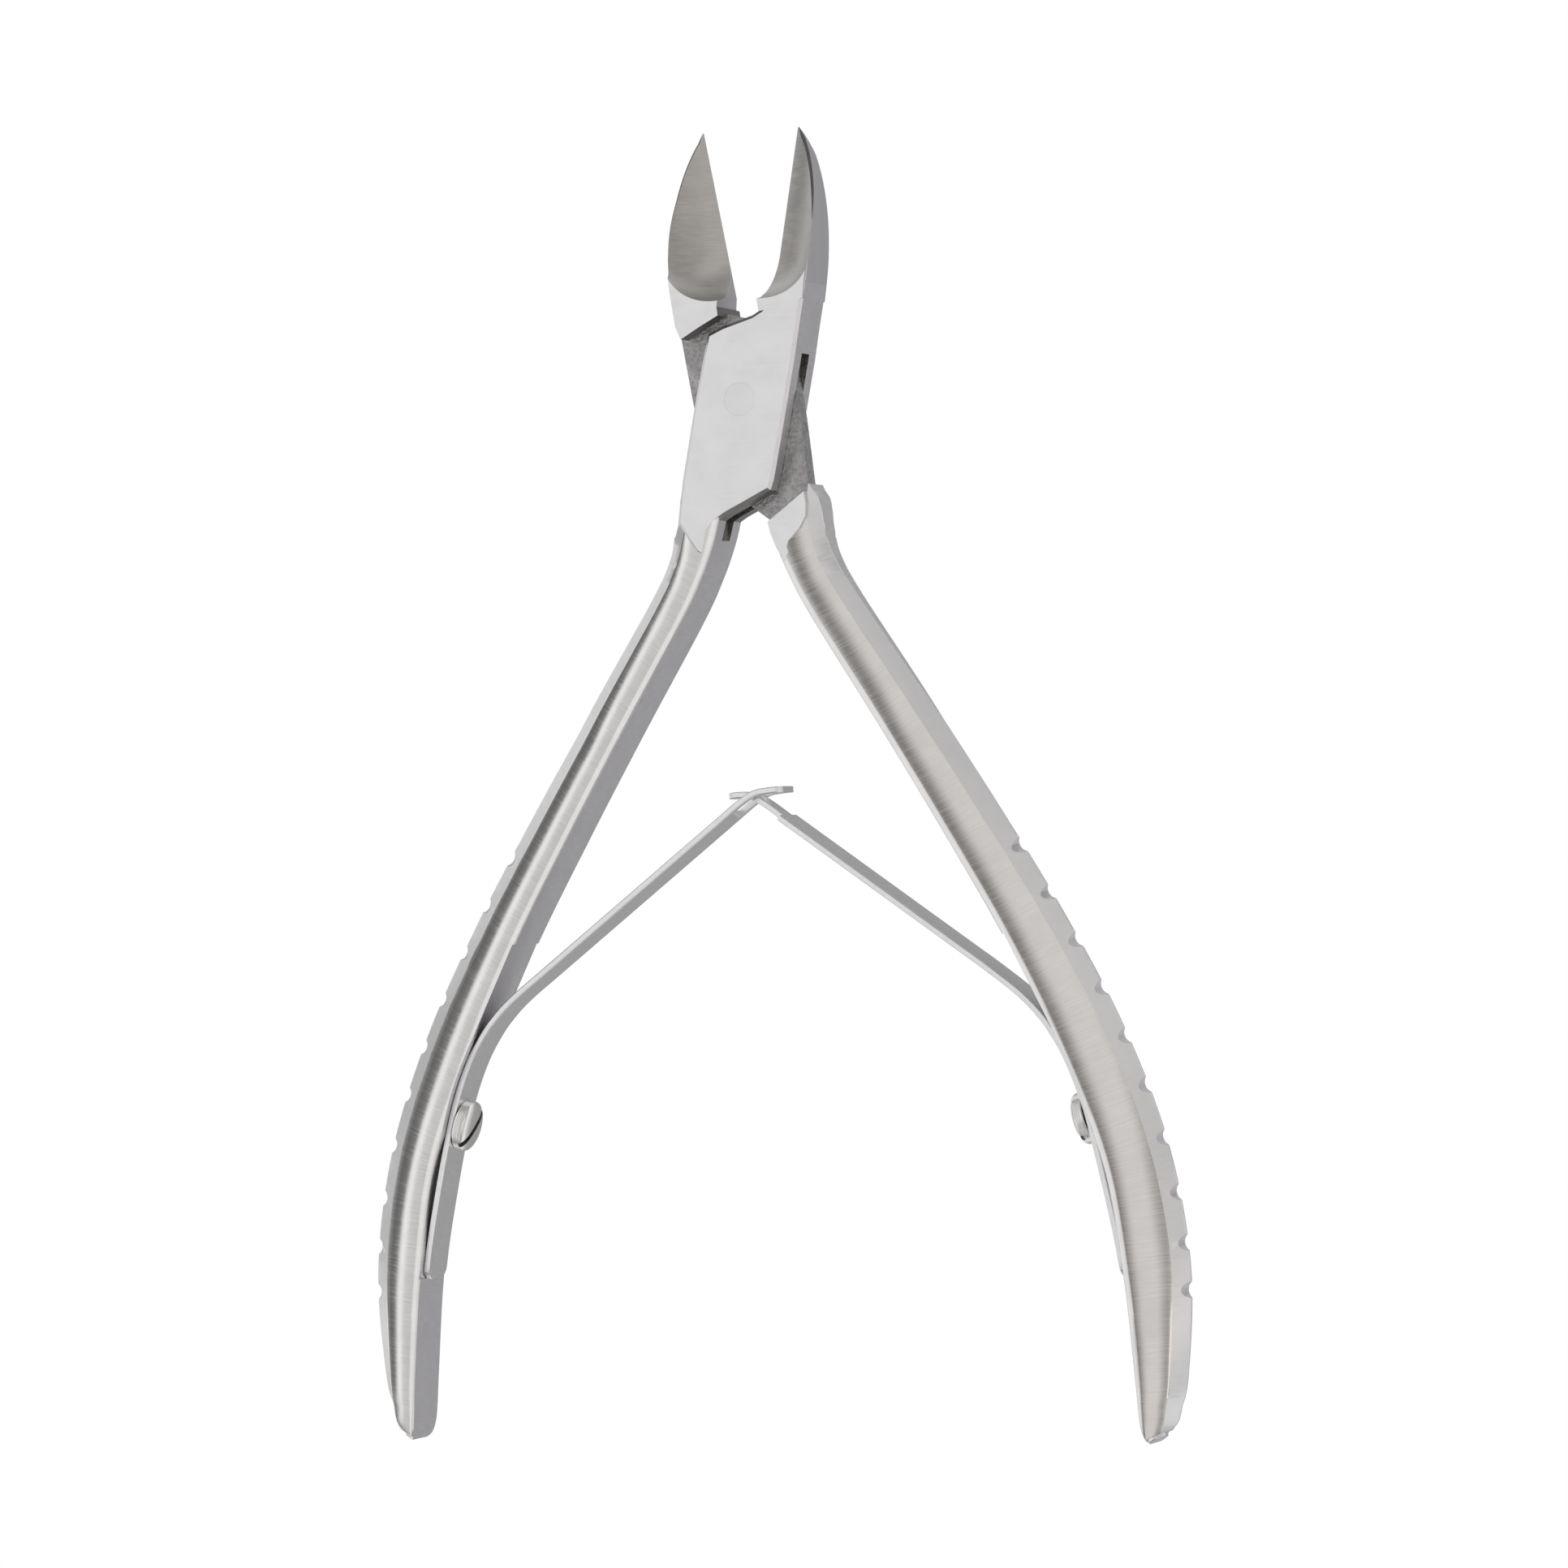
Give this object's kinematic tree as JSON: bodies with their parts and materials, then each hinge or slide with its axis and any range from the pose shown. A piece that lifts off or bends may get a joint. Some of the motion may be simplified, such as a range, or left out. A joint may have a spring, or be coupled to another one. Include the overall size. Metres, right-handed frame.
{
  "type": "cuticle nipper",
  "caption": "Stainless cuticle nipper, drawn open: crossed arms on a box joint, hollow-ground blades, notched handles and two interlocking leaf springs",
  "frame": {"origin": "where the axis of the rivet meets the underside the tool lies on", "axes": "+Z along the rivet, up from the face the tool lies on; +Y from the rivet towards the blade tips, midway between the arms as they rest open; +X across the arms, towards the blade of the box arm"},
  "size_m": [0.0796, 0.12, 0.0058],
  "materials": {
    "arm_steel": "satin forged stainless steel, ground across the arm",
    "rivet_steel": "ground flush with the box",
    "spring_steel": "smooth rolled stainless strip",
    "screw_steel": "turned stainless steel"
  },
  "bodies": {
    "box_arm_body": {"box_arm": "arm_steel", "pivot_pin": "rivet_steel", "left_spring_seat": "spring_steel", "left_spring_screw": "screw_steel"},
    "inner_arm_body": {"inner_arm": "arm_steel", "right_spring_seat": "spring_steel", "right_spring_screw": "screw_steel"},
    "left_leaf_body": {"left_spring_leaf": "spring_steel"},
    "right_leaf_body": {"right_spring_leaf": "spring_steel"}
  },
  "joints": [
    {"name": "jaw_hinge", "type": "hinge", "parent": "box_arm_body", "child": "inner_arm_body", "pos_m": [0, 0, 0.0029], "axis": [0, 0, -1], "range_deg": [0, 20.6], "stiffness_Nm_per_rad": 1.5, "springref_deg": -2.86},
    {"name": "left_leaf_flex", "type": "hinge", "parent": "box_arm_body", "child": "left_leaf_body", "pos_m": [-0.0279, -0.058, 0.0029], "axis": [0, 0, 1], "range_deg": [0, 13.5]},
    {"name": "right_leaf_flex", "type": "hinge", "parent": "inner_arm_body", "child": "right_leaf_body", "pos_m": [0.0279, -0.058, 0.0029], "axis": [0, 0, -1], "range_deg": [0, 13.5]}
  ],
  "couplings": [
    {"joint": "left_leaf_flex", "follows": "jaw_hinge", "ratio": 0.63},
    {"joint": "right_leaf_flex", "follows": "jaw_hinge", "ratio": 0.63}
  ]
}
